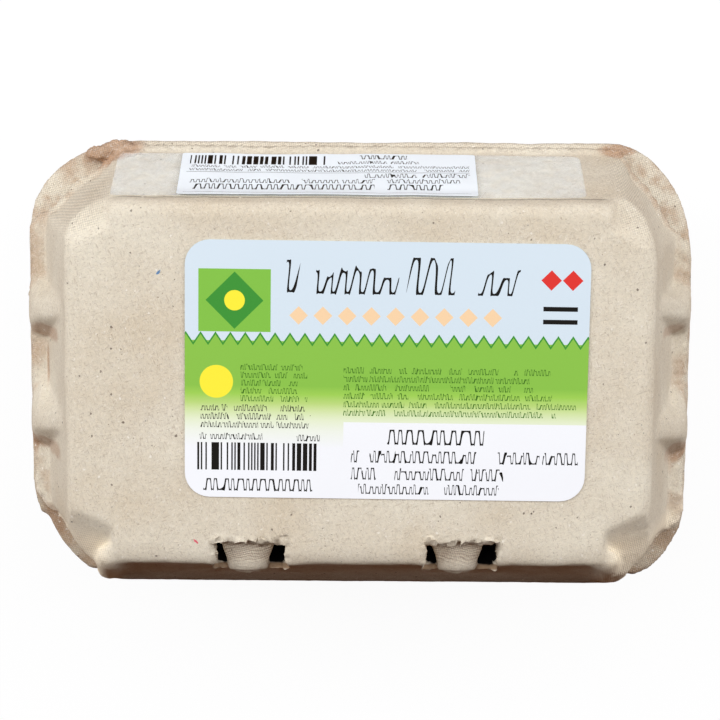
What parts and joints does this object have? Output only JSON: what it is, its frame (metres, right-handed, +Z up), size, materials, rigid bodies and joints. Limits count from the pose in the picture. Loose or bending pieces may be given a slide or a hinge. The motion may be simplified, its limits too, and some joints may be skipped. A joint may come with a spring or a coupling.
{
  "type": "closed egg carton",
  "caption": "Closed moulded-pulp egg carton with sloped lid, latch tabs, cup-shaped tray, printed paper label and a clear seal over the hinge.",
  "frame": {"origin": "middle of the floor that the six feet stand on", "axes": "+X along the length, -Y towards the latches in front, +Y towards the hinge, +Z up"},
  "size_m": [0.15, 0.1008, 0.0663],
  "materials": {
    "pulp": "rough grey-beige recycled pulp with flecks",
    "label_paper": "printed satin paper",
    "clear_film": "clear adhesive film",
    "sticker_paper": "white satin paper"
  },
  "bodies": {
    "root": {"carton": "pulp", "label": "label_paper", "seal_tape": "clear_film", "seal_label": "sticker_paper"}
  },
  "joints": []
}
